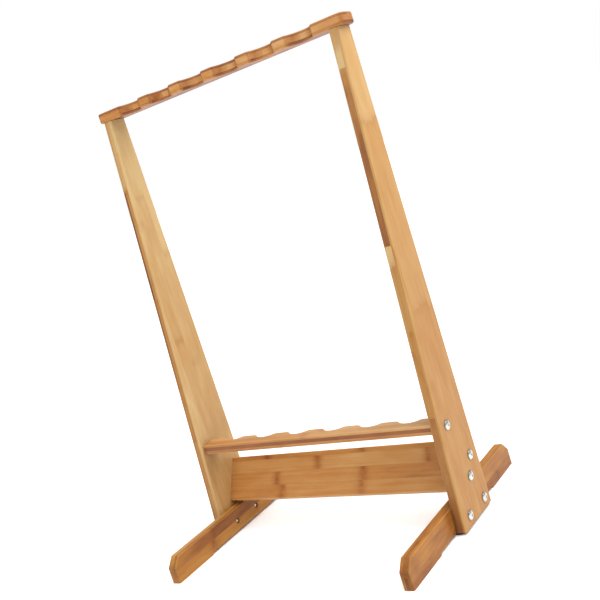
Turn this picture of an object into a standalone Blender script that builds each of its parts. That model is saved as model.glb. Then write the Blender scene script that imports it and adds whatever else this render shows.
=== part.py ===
"""Bamboo floor rack for six guitars, built as separate boards and fittings.

Two tapered posts stand on two feet. A notched top rail lies on the posts, and a notched
lower rail and a tilted apron join them near the floor. Each joint has its bolt and its
threaded insert, and a dowel where there is only one bolt. Rubber glides sit under the posts.

Units are metres. X runs along the rails, the notches of the top rail face -Y, +Z is up,
and the floor is at Z = 0.
"""
import math

import bmesh
import bpy
from mathutils import Matrix, Vector

MM = 0.001
CLEARANCE = 0.3 * MM            # gap between pieces that touch

# Frame
STOCK = 18 * MM                 # thickness of every board
WIDTH = 524 * MM                # over the outer faces of the posts
POST_BOTTOM = 4 * MM
POST_TOP = 804 * MM
POST_BACK = 58.5 * MM
POST_FRONT_BOTTOM = -51.5 * MM
POST_FRONT_TOP = 21 * MM

# Feet
FOOT_LENGTH = 417 * MM
FOOT_HEIGHT = 45 * MM
FOOT_CHAMFER = 16 * MM
FOOT_PAD_LENGTH = 96 * MM       # stretch at each end that stands on the floor
FOOT_RELIEF = POST_BOTTOM       # height of the relieved underside

# Rails and apron
NOTCH_COUNT = 6
NOTCH_PITCH = 76 * MM
NOTCH_RADIUS = 25 * MM
TOP_RAIL_HALF_LENGTH = 273 * MM
TOP_RAIL_FRONT = 19.5 * MM
TOP_RAIL_BACK = 65.5 * MM
TOP_RAIL_FRONT_CORNER = 10 * MM
TOP_RAIL_BACK_CORNER = 16 * MM
TOP_NOTCH_DEPTH = 19.5 * MM
TOP_NOTCH_LIP = 6 * MM          # radius where a notch meets the front edge
LOWER_RAIL_FRONT = -29.5 * MM
LOWER_RAIL_BACK = 4 * MM
LOWER_RAIL_BOTTOM = 162 * MM
LOWER_NOTCH_DEPTH = 12.7 * MM
LOWER_NOTCH_LIP = 10 * MM
APRON_WIDTH = 82.5 * MM
APRON_TILT = math.radians(33)
APRON_CENTRE = Vector((0, 22.1 * MM, 85.3 * MM))

# Edges and arcs
ARRIS = 3 * MM                  # rounding along the boards
APRON_ARRIS = 2 * MM
FOOT_ARRIS = 2.5 * MM
END_BREAK = 0.8 * MM            # small chamfer on sawn ends
ARRIS_STEPS = 2
ARC_STEP = math.radians(18)

# Fittings
BOLT_RADIUS = 3 * MM
BOLT_HEAD_RADIUS = 8.5 * MM
BOLT_HEAD_RIM = 0.7 * MM
BOLT_HEAD_HEIGHT = 3.8 * MM
BOLT_TIP = 0.8 * MM
FLAT_HEAD_RADIUS = 6 * MM       # countersunk heads in the top rail
FLAT_HEAD_GAP = 0.45 * MM
RECESS_ARM = 3.0 * MM           # half length of the cross recess
RECESS_WIDTH = 0.9 * MM         # half width of an arm
RECESS_DEPTH = 2.2 * MM
INSERT_RADIUS = 5 * MM
INSERT_LENGTH = 13 * MM
INSERT_CHAMFER = 0.6 * MM
LONG_BOLT = 35 * MM             # into end grain
FOOT_BOLT = 34 * MM
END_HOLE_DEPTH = 21 * MM
FOOT_BOLT_Y = (-24.5 * MM, 37 * MM)
FOOT_BOLT_Z = 21 * MM
APRON_BOLT_OFFSET = 17 * MM     # from the middle of the apron's width
TOP_BOLT_Y = 33 * MM
TOP_DOWEL_Y = 48 * MM
TOP_DOWEL_RADIUS = 4 * MM
TOP_DOWEL_IN_RAIL = 11 * MM
TOP_DOWEL_IN_POST = 17 * MM
RAIL_DOWEL_RADIUS = 3 * MM
RAIL_DOWEL_Y = -2.3 * MM
RAIL_DOWEL_IN_RAIL = 14 * MM
RAIL_DOWEL_IN_POST = 10 * MM
DOWEL_CHAMFER = 1 * MM
GLIDE_RADIUS = 7 * MM
GLIDE_X = 245 * MM              # under the joint between the post and the foot
GLIDE_Y = (-44 * MM, 48 * MM)
ROUND_SEGMENTS = 16

# Derived places
SIDES = {"left": -1, "right": 1}
POST_OUTER = WIDTH / 2
POST_INNER = POST_OUTER - STOCK
FOOT_OUTER = POST_INNER - CLEARANCE
FOOT_INNER = FOOT_OUTER - STOCK
BOARD_END = POST_INNER - CLEARANCE
TOP_RAIL_BOTTOM = POST_TOP + CLEARANCE
TOP_RAIL_TOP = TOP_RAIL_BOTTOM + STOCK
LOWER_RAIL_MIDDLE = Vector((0, (LOWER_RAIL_FRONT + LOWER_RAIL_BACK) / 2,
                            LOWER_RAIL_BOTTOM + STOCK / 2))
POST_MIDDLE_X = (POST_OUTER + POST_INNER) / 2
BOLT_HOLE = BOLT_RADIUS + CLEARANCE
INSERT_HOLE = INSERT_RADIUS + CLEARANCE
TOP_DOWEL_HOLE = TOP_DOWEL_RADIUS + CLEARANCE
RAIL_DOWEL_HOLE = RAIL_DOWEL_RADIUS + CLEARANCE
PAST = 2 * MM                   # how far a cutter runs past an open face
APRON_UP = Vector((0, math.sin(APRON_TILT), math.cos(APRON_TILT)))

SIDE_BOLTS = {
    "rail": (LOWER_RAIL_MIDDLE.y, LOWER_RAIL_MIDDLE.z, LONG_BOLT),
    "apron_upper": (*(APRON_CENTRE + APRON_UP * APRON_BOLT_OFFSET).yz, LONG_BOLT),
    "apron_lower": (*(APRON_CENTRE - APRON_UP * APRON_BOLT_OFFSET).yz, LONG_BOLT),
    "foot_front": (FOOT_BOLT_Y[0], FOOT_BOLT_Z, FOOT_BOLT),
    "foot_back": (FOOT_BOLT_Y[1], FOOT_BOLT_Z, FOOT_BOLT),
}


def clear_scene():
    for existing in list(bpy.data.objects):
        bpy.data.objects.remove(existing, do_unlink=True)


def principled(name, colour, roughness, metallic=0.0):
    material = bpy.data.materials.new(name)
    material.use_nodes = True
    shader = material.node_tree.nodes["Principled BSDF"]
    shader.inputs["Base Color"].default_value = (*colour, 1)
    shader.inputs["Roughness"].default_value = roughness
    shader.inputs["Metallic"].default_value = metallic
    return material


def post_bamboo():
    return principled("post_bamboo", (0.62, 0.38, 0.16), 0.42)


def rail_bamboo():
    return principled("rail_bamboo", (0.52, 0.28, 0.11), 0.42)


def foot_bamboo():
    return principled("foot_bamboo", (0.50, 0.27, 0.11), 0.45)


def zinc():
    return principled("zinc", (0.72, 0.74, 0.76), 0.28, 1.0)


def insert_steel():
    return principled("insert_steel", (0.66, 0.62, 0.52), 0.35, 1.0)


def beech():
    return principled("beech", (0.70, 0.52, 0.32), 0.6)


def black_rubber():
    return principled("black_rubber", (0.02, 0.02, 0.02), 0.8)


def add_object(name, mesh, material):
    piece = bpy.data.objects.new(name, mesh)
    bpy.context.scene.collection.objects.link(piece)
    if material is not None:
        mesh.materials.append(material)
    return piece


def mesh_from(bm, name):
    bmesh.ops.recalc_face_normals(bm, faces=bm.faces)
    mesh = bpy.data.meshes.new(name)
    bm.to_mesh(mesh)
    bm.free()
    return mesh


def prism(outline, place, start, end):
    """Closed solid between two copies of an outline; place(u, v, w) gives the point."""
    bm = bmesh.new()
    face = bm.faces.new([bm.verts.new(place(u, v, start)) for u, v in outline])
    swept = bmesh.ops.extrude_face_region(bm, geom=[face])
    far = [item for item in swept["geom"] if isinstance(item, bmesh.types.BMVert)]
    bmesh.ops.translate(bm, verts=far, vec=place(0, 0, end) - place(0, 0, start))
    bmesh.ops.recalc_face_normals(bm, faces=bm.faces)
    return bm


def round_edges(bm, wanted, radius, steps):
    """Rounds the sharp edges whose middle point and direction satisfy wanted."""
    sharp_angle = math.radians(30)
    chosen = []
    for edge in bm.edges:
        start, end = (vert.co for vert in edge.verts)
        if edge.calc_face_angle(0) > sharp_angle and wanted((start + end) / 2, (end - start).normalized()):
            chosen.append(edge)
    bmesh.ops.bevel(bm, geom=chosen, offset=radius, segments=steps, profile=0.5,
                    affect="EDGES", clamp_overlap=True)


def arc(centre, radius, start, end):
    """Points on an arc, its ends included."""
    steps = max(2, math.ceil(abs(end - start) / ARC_STEP))
    angles = [start + (end - start) * step / steps for step in range(steps + 1)]
    return [(centre[0] + radius * math.cos(angle), centre[1] + radius * math.sin(angle))
            for angle in angles]


def notch_arcs(middle, edge, depth, lip):
    """Points of one notch, from low X to high X, cut towards +Y from the line Y = edge."""
    reach = math.sqrt(depth * (2 * (NOTCH_RADIUS + lip) - depth))
    bottom = edge + depth - NOTCH_RADIUS
    turn = math.acos(reach / (NOTCH_RADIUS + lip))
    down = -math.pi / 2
    first = arc((middle - reach, edge + lip), lip, down, -turn)
    valley = arc((middle, bottom), NOTCH_RADIUS, math.pi - turn, turn)
    last = arc((middle + reach, edge + lip), lip, math.pi + turn, 3 * math.pi / 2)
    return first + valley[1:-1] + last


def notched_edge(edge, depth, lip):
    points = []
    for index in range(NOTCH_COUNT):
        middle = (index - (NOTCH_COUNT - 1) / 2) * NOTCH_PITCH
        points += notch_arcs(middle, edge, depth, lip)
    return points


def along_x(u, v, w):
    return Vector((w, u, v))


def along_z(u, v, w):
    return Vector((u, v, w))


def turned(profile, closed=False):
    """Solid of revolution about Z; profile is (radius, z), and an open one ends on the axis."""
    bm = bmesh.new()
    verts = [bm.verts.new((radius, 0, z)) for radius, z in profile]
    pairs = list(zip(verts, verts[1:]))
    if closed:
        pairs.append((verts[-1], verts[0]))
    edges = [bm.edges.new(pair) for pair in pairs]
    bmesh.ops.spin(bm, geom=verts + edges, axis=(0, 0, 1), cent=(0, 0, 0),
                   angle=2 * math.pi, steps=ROUND_SEGMENTS, use_merge=True)
    bmesh.ops.remove_doubles(bm, verts=bm.verts, dist=1e-6)
    return bm


def smooth_round(mesh):
    mesh.shade_smooth()
    mesh.set_sharp_from_angle(angle=math.radians(35))


def facing(side):
    """Rotation that turns local +Z outwards, to the given side."""
    return Matrix.Rotation(side * math.pi / 2, 4, "Y")


def cut(piece, label, bm, matrix=Matrix()):
    """Cuts the solid in bm, placed by matrix, out of the piece."""
    name = piece.name + "_" + label
    cutter = add_object(name, mesh_from(bm, name), None)
    cutter.hide_render = True
    cutter.display_type = "WIRE"
    cutter.matrix_world = matrix
    modifier = piece.modifiers.new(label, "BOOLEAN")
    modifier.operation = "DIFFERENCE"
    modifier.solver = "EXACT"
    modifier.object = cutter


def drill(piece, label, holes):
    """A hole is (start point, end point, radius at the start, radius at the end)."""
    bm = bmesh.new()
    for start, end, start_radius, end_radius in holes:
        axis = end - start
        turn = Vector((0, 0, 1)).rotation_difference(axis).to_matrix().to_4x4()
        bmesh.ops.create_cone(bm, cap_ends=True, segments=ROUND_SEGMENTS, radius1=start_radius,
                              radius2=end_radius, depth=axis.length,
                              matrix=Matrix.Translation((start + end) / 2) @ turn)
    cut(piece, label, bm)


def make_board(name, bm, material, holes):
    board = add_object(name, mesh_from(bm, name), material)
    drill(board, "holes", holes)
    return board


def hole_along_x(side, start, end, y, z, radius):
    """Hole between two distances from the middle plane, on the given side."""
    return (Vector((side * start, y, z)), Vector((side * end, y, z)), radius, radius)


def hole_along_z(x, y, low, high, radius):
    return (Vector((x, y, low)), Vector((x, y, high)), radius, radius)


def bolt_hole(side, start, end, bolt_name, radius):
    y, z, _ = SIDE_BOLTS[bolt_name]
    return hole_along_x(side, start, end, y, z, radius)


def post(side_name, side, material):
    outline = [
        (POST_FRONT_BOTTOM, POST_BOTTOM),
        (POST_BACK, POST_BOTTOM),
        (POST_BACK, POST_TOP),
        (POST_FRONT_TOP, POST_TOP),
    ]
    bm = prism(outline, along_x, side * POST_INNER, side * POST_OUTER)
    round_edges(bm, lambda middle, way: abs(way.z) > 0.5, ARRIS, ARRIS_STEPS)
    round_edges(bm, lambda middle, way: middle.z < POST_BOTTOM + CLEARANCE, END_BREAK, 1)
    holes = [bolt_hole(side, POST_INNER - PAST, POST_OUTER + PAST, bolt_name, BOLT_HOLE)
             for bolt_name in SIDE_BOLTS]
    x = side * POST_MIDDLE_X
    bolt_floor = TOP_RAIL_TOP - LONG_BOLT - PAST
    dowel_floor = POST_TOP - TOP_DOWEL_IN_POST - CLEARANCE
    holes += [
        hole_along_z(x, TOP_BOLT_Y, bolt_floor, POST_TOP + PAST, INSERT_HOLE),
        hole_along_z(x, TOP_DOWEL_Y, dowel_floor, POST_TOP + PAST, TOP_DOWEL_HOLE),
        hole_along_x(side, POST_INNER - PAST, POST_INNER + RAIL_DOWEL_IN_POST + CLEARANCE,
                     RAIL_DOWEL_Y, LOWER_RAIL_MIDDLE.z, RAIL_DOWEL_HOLE),
    ]
    make_board("post_" + side_name, bm, material, holes)


def foot(side_name, side, material):
    half = FOOT_LENGTH / 2
    shoulder = FOOT_HEIGHT - FOOT_CHAMFER
    pad = half - FOOT_PAD_LENGTH
    outline = [
        (-half, 0), (-pad, 0), (-pad + FOOT_RELIEF, FOOT_RELIEF),
        (pad - FOOT_RELIEF, FOOT_RELIEF), (pad, 0), (half, 0),
        (half, shoulder), (half - FOOT_CHAMFER, FOOT_HEIGHT),
        (FOOT_CHAMFER - half, FOOT_HEIGHT), (-half, shoulder),
    ]
    bm = prism(outline, along_x, side * FOOT_INNER, side * FOOT_OUTER)
    underside = FOOT_RELIEF + CLEARANCE
    round_edges(bm, lambda middle, way: abs(way.x) < 0.5 and middle.z > underside, FOOT_ARRIS, ARRIS_STEPS)
    holes = [bolt_hole(side, FOOT_INNER - PAST, FOOT_OUTER + PAST, bolt_name, INSERT_HOLE)
             for bolt_name in ("foot_front", "foot_back")]
    make_board("foot_" + side_name, bm, material, holes)


def top_rail(material):
    near = TOP_RAIL_FRONT_CORNER
    far = TOP_RAIL_BACK_CORNER
    end = TOP_RAIL_HALF_LENGTH
    front = TOP_RAIL_FRONT + near
    back = TOP_RAIL_BACK - far
    outline = arc((near - end, front), near, math.pi, 3 * math.pi / 2)
    outline += notched_edge(TOP_RAIL_FRONT, TOP_NOTCH_DEPTH, TOP_NOTCH_LIP)
    outline += arc((end - near, front), near, -math.pi / 2, 0)
    outline += arc((end - far, back), far, 0, math.pi / 2)
    outline += arc((far - end, back), far, math.pi / 2, math.pi)
    bm = prism(outline, along_z, TOP_RAIL_BOTTOM, TOP_RAIL_TOP)
    round_edges(bm, lambda middle, way: abs(way.z) < 0.5, ARRIS, ARRIS_STEPS)
    holes = []
    countersinks = []
    for side in SIDES.values():
        x = side * POST_MIDDLE_X
        dowel_ceiling = TOP_RAIL_BOTTOM + TOP_DOWEL_IN_RAIL + CLEARANCE
        holes += [
            hole_along_z(x, TOP_BOLT_Y, TOP_RAIL_BOTTOM - PAST, TOP_RAIL_TOP + PAST, BOLT_HOLE),
            hole_along_z(x, TOP_DOWEL_Y, TOP_RAIL_BOTTOM - PAST, dowel_ceiling, TOP_DOWEL_HOLE),
        ]
        wide = FLAT_HEAD_RADIUS + FLAT_HEAD_GAP
        countersinks.append((Vector((x, TOP_BOLT_Y, TOP_RAIL_TOP - wide)),
                             Vector((x, TOP_BOLT_Y, TOP_RAIL_TOP + PAST)), 0, wide + PAST))
    rail = make_board("top_rail", bm, material, holes)
    drill(rail, "countersinks", countersinks)


def lower_rail(material):
    notches = [(-x, -y) for x, y in notched_edge(-LOWER_RAIL_BACK, LOWER_NOTCH_DEPTH, LOWER_NOTCH_LIP)]
    outline = [(-BOARD_END, LOWER_RAIL_FRONT), (BOARD_END, LOWER_RAIL_FRONT), (BOARD_END, LOWER_RAIL_BACK)]
    outline += notches
    outline.append((-BOARD_END, LOWER_RAIL_BACK))
    bm = prism(outline, along_z, LOWER_RAIL_BOTTOM, LOWER_RAIL_BOTTOM + STOCK)
    inside = BOARD_END - CLEARANCE
    round_edges(bm, lambda middle, way: abs(way.z) < 0.5 and abs(middle.x) < inside, ARRIS, ARRIS_STEPS)
    holes = []
    for side in SIDES.values():
        holes += [
            bolt_hole(side, BOARD_END - END_HOLE_DEPTH, BOARD_END + PAST, "rail", INSERT_HOLE),
            hole_along_x(side, BOARD_END - RAIL_DOWEL_IN_RAIL - CLEARANCE, BOARD_END + PAST,
                         RAIL_DOWEL_Y, LOWER_RAIL_MIDDLE.z, RAIL_DOWEL_HOLE),
        ]
    make_board("lower_rail", bm, material, holes)


def apron(material):
    back = Vector((0, APRON_UP.z, -APRON_UP.y))
    half_width = APRON_WIDTH / 2
    half_thick = STOCK / 2
    section = []
    for across, up in ((-1, -1), (1, -1), (1, 1), (-1, 1)):
        corner = APRON_CENTRE + back * (across * half_thick) + APRON_UP * (up * half_width)
        section.append((corner.y, corner.z))
    bm = prism(section, along_x, -BOARD_END, BOARD_END)
    round_edges(bm, lambda middle, way: abs(way.x) > 0.5, APRON_ARRIS, ARRIS_STEPS)
    holes = []
    for side in SIDES.values():
        holes += [bolt_hole(side, BOARD_END - END_HOLE_DEPTH, BOARD_END + PAST, bolt_name, INSERT_HOLE)
                  for bolt_name in ("apron_upper", "apron_lower")]
    make_board("apron", bm, material, holes)


def dome_profile():
    """Domed head whose underside stands clear of Z = 0, from its rim to the axis."""
    rise = BOLT_HEAD_HEIGHT - BOLT_HEAD_RIM
    dome_radius = (BOLT_HEAD_RADIUS ** 2 + rise ** 2) / (2 * rise)
    rings = 4
    profile = [(BOLT_RADIUS, CLEARANCE), (BOLT_HEAD_RADIUS, CLEARANCE)]
    for ring in range(rings + 1):
        radius = BOLT_HEAD_RADIUS * (1 - ring / rings)
        drop = dome_radius - math.sqrt(dome_radius ** 2 - radius ** 2)
        profile.append((radius, CLEARANCE + BOLT_HEAD_HEIGHT - drop))
    return profile


def flat_profile():
    """Countersunk head whose top lies just under Z = 0, from the shank to the axis."""
    cone = FLAT_HEAD_RADIUS - BOLT_RADIUS
    return [(BOLT_RADIUS, -CLEARANCE - cone), (FLAT_HEAD_RADIUS, -CLEARANCE), (0, -CLEARANCE)]


def recess():
    """Cross-shaped solid from Z = 0 down."""
    outline = []
    for quarter in range(4):
        turn = Matrix.Rotation(quarter * math.pi / 2, 2)
        for x, y in ((RECESS_WIDTH, RECESS_WIDTH), (RECESS_ARM, RECESS_WIDTH), (RECESS_ARM, -RECESS_WIDTH)):
            outline.append(tuple(turn.inverted() @ Vector((x, y))))
    return prism(outline, along_z, -RECESS_DEPTH, PAST)


def bolt(name, head, length, matrix, material):
    """Shank from local Z = 0 down to -length, with a head and its cross recess."""
    shank = [(0, -length), (BOLT_RADIUS - BOLT_TIP, -length), (BOLT_RADIUS, BOLT_TIP - length)]
    mesh = mesh_from(turned(shank + head), name)
    smooth_round(mesh)
    piece = add_object(name, mesh, material)
    piece.matrix_world = matrix
    head_top = head[-1][1]
    cut(piece, "recess", recess(), matrix @ Matrix.Translation((0, 0, head_top)))


def threaded_insert(name, matrix, material):
    """Ring from Z = 0 down to the insert's length."""
    inner = BOLT_RADIUS + CLEARANCE
    outer = INSERT_RADIUS
    bevel = INSERT_CHAMFER
    profile = [(inner, 0), (outer - bevel, 0), (outer, -bevel), (outer, bevel - INSERT_LENGTH),
               (outer - bevel, -INSERT_LENGTH), (inner, -INSERT_LENGTH)]
    mesh = mesh_from(turned(profile, closed=True), name)
    smooth_round(mesh)
    add_object(name, mesh, material).matrix_world = matrix


def dowel(name, radius, low, high, matrix, material):
    bevel = DOWEL_CHAMFER
    profile = [(0, low), (radius - bevel, low), (radius, low + bevel), (radius, high - bevel),
               (radius - bevel, high), (0, high)]
    mesh = mesh_from(turned(profile), name)
    smooth_round(mesh)
    add_object(name, mesh, material).matrix_world = matrix


def glide(name, x, y, material):
    """Rubber disc between the floor and the underside of the post and the foot."""
    top = POST_BOTTOM - CLEARANCE
    edge = 0.8 * MM
    profile = [(0, 0), (GLIDE_RADIUS - edge, 0), (GLIDE_RADIUS, edge), (GLIDE_RADIUS, top), (0, top)]
    mesh = mesh_from(turned(profile), name)
    smooth_round(mesh)
    add_object(name, mesh, material).matrix_world = Matrix.Translation((x, y, 0))


def side_fittings(side_name, side, materials):
    turn = facing(side)
    for bolt_name, (y, z, length) in SIDE_BOLTS.items():
        ending = bolt_name + "_" + side_name
        bolt("bolt_" + ending, dome_profile(), length,
             Matrix.Translation((side * POST_OUTER, y, z)) @ turn, materials["zinc"])
        threaded_insert("insert_" + ending, Matrix.Translation((side * BOARD_END, y, z)) @ turn,
                        materials["insert"])
    rail_dowel_place = Vector((side * POST_INNER, RAIL_DOWEL_Y, LOWER_RAIL_MIDDLE.z))
    dowel("dowel_rail_" + side_name, RAIL_DOWEL_RADIUS, -RAIL_DOWEL_IN_RAIL, RAIL_DOWEL_IN_POST,
          Matrix.Translation(rail_dowel_place) @ turn, materials["dowel"])


def top_fittings(side_name, side, materials):
    x = side * POST_MIDDLE_X
    bolt("bolt_top_" + side_name, flat_profile(), LONG_BOLT,
         Matrix.Translation((x, TOP_BOLT_Y, TOP_RAIL_TOP)), materials["zinc"])
    threaded_insert("insert_top_" + side_name, Matrix.Translation((x, TOP_BOLT_Y, POST_TOP)),
                    materials["insert"])
    dowel("dowel_top_" + side_name, TOP_DOWEL_RADIUS, -TOP_DOWEL_IN_POST, TOP_DOWEL_IN_RAIL,
          Matrix.Translation((x, TOP_DOWEL_Y, POST_TOP)), materials["dowel"])


def main():
    clear_scene()
    posts = post_bamboo()
    feet = foot_bamboo()
    rails = rail_bamboo()
    rubber = black_rubber()
    materials = {"zinc": zinc(), "insert": insert_steel(), "dowel": beech()}
    for side_name, side in SIDES.items():
        post(side_name, side, posts)
        foot(side_name, side, feet)
        side_fittings(side_name, side, materials)
        top_fittings(side_name, side, materials)
        for end_name, y in zip(("front", "back"), GLIDE_Y):
            glide("glide_" + end_name + "_" + side_name, side * GLIDE_X, y, rubber)
    top_rail(rails)
    lower_rail(rails)
    apron(rails)


main()
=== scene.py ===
"""Looks of the bamboo guitar rack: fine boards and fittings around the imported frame.

Every board is a laminate. Its faces are split along the glue lines, and each face knows the
bamboo strip that it belongs to, so that colour, fibre and nodes change from strip to strip.
Board coordinates are u along the grain, v across the width and w through the thickness.
Lengths are metres, and MM turns millimetres into them.
"""

import math
import random

import bmesh
import bpy
from mathutils import Matrix, Vector


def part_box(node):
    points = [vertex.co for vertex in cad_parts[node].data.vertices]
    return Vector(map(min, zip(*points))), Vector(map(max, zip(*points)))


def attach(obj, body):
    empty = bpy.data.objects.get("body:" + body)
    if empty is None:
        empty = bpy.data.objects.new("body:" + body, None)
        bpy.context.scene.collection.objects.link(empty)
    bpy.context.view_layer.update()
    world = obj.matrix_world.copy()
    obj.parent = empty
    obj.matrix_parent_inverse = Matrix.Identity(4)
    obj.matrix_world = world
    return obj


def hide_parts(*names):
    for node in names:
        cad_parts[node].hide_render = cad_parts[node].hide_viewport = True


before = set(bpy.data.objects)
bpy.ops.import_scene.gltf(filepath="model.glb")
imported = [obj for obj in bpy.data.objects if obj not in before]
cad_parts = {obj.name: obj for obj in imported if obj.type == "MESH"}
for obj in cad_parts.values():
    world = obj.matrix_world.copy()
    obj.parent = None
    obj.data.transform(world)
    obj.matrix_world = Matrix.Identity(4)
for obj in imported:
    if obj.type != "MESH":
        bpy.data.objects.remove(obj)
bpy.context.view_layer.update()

MM = 0.001
SIDES = {"left": -1, "right": 1}
BODY = "root"


# ---- sizes

def corners(node):
    """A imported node's lowest and highest corner, to a micrometre."""
    return [[round(place, 6) for place in corner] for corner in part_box(node)]


def middle(node):
    low, high = corners(node)
    return [(start + end) / 2 for start, end in zip(low, high)]


# Boards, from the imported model
(POST_INNER, _, POST_BOTTOM), (POST_OUTER, POST_BACK, POST_TOP) = corners("post_right")
(FOOT_INNER, _, _), (FOOT_OUTER, FOOT_HALF, FOOT_HEIGHT) = corners("foot_right")
TOP_RAIL_LOW, (TOP_RAIL_HALF, TOP_RAIL_BACK, TOP_RAIL_TOP) = corners("top_rail")
_, TOP_RAIL_FRONT, TOP_RAIL_BOTTOM = TOP_RAIL_LOW
LOWER_RAIL_LOW, (BOARD_END, LOWER_RAIL_BACK, LOWER_RAIL_TOP) = corners("lower_rail")
_, LOWER_RAIL_FRONT, LOWER_RAIL_BOTTOM = LOWER_RAIL_LOW
APRON_CENTRE = Vector(middle("apron"))
STOCK = POST_OUTER - POST_INNER
POST_MIDDLE = (POST_OUTER + POST_INNER) / 2
CLEARANCE = POST_INNER - BOARD_END

# Boards' shapes that their boxes don't tell
POST_FRONT_BOTTOM = -51.5 * MM
POST_FRONT_TOP = 21 * MM
FOOT_CHAMFER = 16 * MM
FOOT_PAD = 96 * MM
FOOT_RELIEF = POST_BOTTOM
NOTCH_COUNT = 6
NOTCH_PITCH = 76 * MM
NOTCH_RADIUS = 25 * MM
TOP_RAIL_FRONT_CORNER = 10 * MM
TOP_RAIL_BACK_CORNER = 16 * MM
TOP_NOTCH_DEPTH = 19.5 * MM
TOP_NOTCH_LIP = 6 * MM
LOWER_NOTCH_DEPTH = 12.7 * MM
LOWER_NOTCH_LIP = 10 * MM
APRON_HALF_WIDTH = 41.25 * MM
APRON_TILT = math.radians(33)
APRON_UP = Vector((0, math.sin(APRON_TILT), math.cos(APRON_TILT)))
APRON_OUT = Vector((0, -math.cos(APRON_TILT), math.sin(APRON_TILT)))

# Their rounded edges
ARRIS = 3 * MM
APRON_ARRIS = 2 * MM
FOOT_ARRIS = 2.5 * MM
ARRIS_STEPS = 6
END_BREAK = 0.8 * MM
END_BREAK_STEPS = 2
CORNER = math.radians(30)       # edges sharper than this can be rounded
SHARP = math.radians(32)        # edges sharper than this are shaded sharp
ARC_STEP = math.radians(5)

# Wood is cut across its fibres where a face leans this far along the grain, from 0 to 1
END_GRAIN_START = 0.15
END_GRAIN_RUN = 0.55
CUT_TOLERANCE = 1e-7

# Places of the fittings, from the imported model
SIDE_BOLTS = {}                 # name: (y, z, length)
for bolt_name in ("rail", "apron_upper", "apron_lower", "foot_front", "foot_back"):
    (tip, _, _), _ = corners("bolt_" + bolt_name + "_right")
    _, y, z = middle("bolt_" + bolt_name + "_right")
    SIDE_BOLTS[bolt_name] = (y, z, POST_OUTER - tip)
_, RAIL_DOWEL_Y, RAIL_HEIGHT = middle("dowel_rail_right")
_, TOP_BOLT_Y, _ = middle("bolt_top_right")
_, TOP_DOWEL_Y, _ = middle("dowel_top_right")
TOP_BOLT_LENGTH = TOP_RAIL_TOP - corners("bolt_top_right")[0][2]
GLIDE_X, GLIDE_FRONT, _ = middle("glide_front_right")
_, GLIDE_BACK, _ = middle("glide_back_right")

# Shapes of the fittings
BOLT_RADIUS = 3 * MM
BOLT_PITCH = 1 * MM
THREAD_DEPTH = 0.45 * MM
NECK_LENGTH = 5 * MM
TIP_LENGTH = 1 * MM
TIP_CHAMFER = 0.8 * MM
HEAD_RADIUS = 8.5 * MM
HEAD_RIM = 0.7 * MM
HEAD_HEIGHT = 3.8 * MM
DOME_RINGS = 12
FLAT_HEAD_RADIUS = 6 * MM
FLAT_HEAD_GAP = 0.45 * MM
RECESS_ARM = 3.0 * MM
RECESS_WIDTH = 0.9 * MM
RECESS_DEPTH = 2.2 * MM
RECESS_RISE = 0.4 * MM          # how far the cutter stands above the head
RECESS_FLARE = 1.06             # its size there
RECESS_TAPER = 0.45             # its size at the bottom of the recess
# Painted shade on the bolt heads: the band round the rim, and how dark the recess and the rim are
# painted
RIM_BAND = 1 * MM
RECESS_PAINTED_SHADE = 0.85
RIM_PAINTED_SHADE = 0.55
INSERT_RADIUS = 5 * MM
INSERT_LENGTH = 13 * MM
INSERT_PITCH = 2.6 * MM
INSERT_THREAD = 0.8 * MM
BORE_THREAD = 0.35 * MM
END_HOLE = 21 * MM
TOP_DOWEL = (4 * MM, 17 * MM, 11 * MM)      # radius, depth in the post, depth in the rail
RAIL_DOWEL = (3 * MM, 14 * MM, 10 * MM)     # radius, depth in the rail, depth in the post
DOWEL_CHAMFER = 1 * MM
FLUTE_COUNT = 10
FLUTE_DEPTH = 0.25 * MM
GLIDE_RADIUS = 7 * MM
SEGMENTS = 40                   # round every fitting and hole
PAST = 2 * MM                   # how far a cutter reaches past what it cuts

# Camera
CAMERA_PLACE = (0.9287, -1.1927, 0.6373)
CAMERA_AZIMUTH = math.radians(36.216)
CAMERA_ELEVATION = math.radians(-8.688)
CAMERA_ROLL = math.radians(-17.868)
CAMERA_LENS = 53.516
CAMERA_SENSOR = 36

# Floor, and the strength of the room's light: dim low in front, bright above and behind
FLOOR_RADIUS = 60
FLOOR_SEGMENTS = 96
ROOM_DIM = 0.15
ROOM_BRIGHT = 0.80
ROOM_LEAN = 0.25                # how far up is tilted towards the back
ROOM_LOW = -0.3                 # heights between which the strength grows
ROOM_HIGH = 0.9


# ---- node helpers

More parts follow.
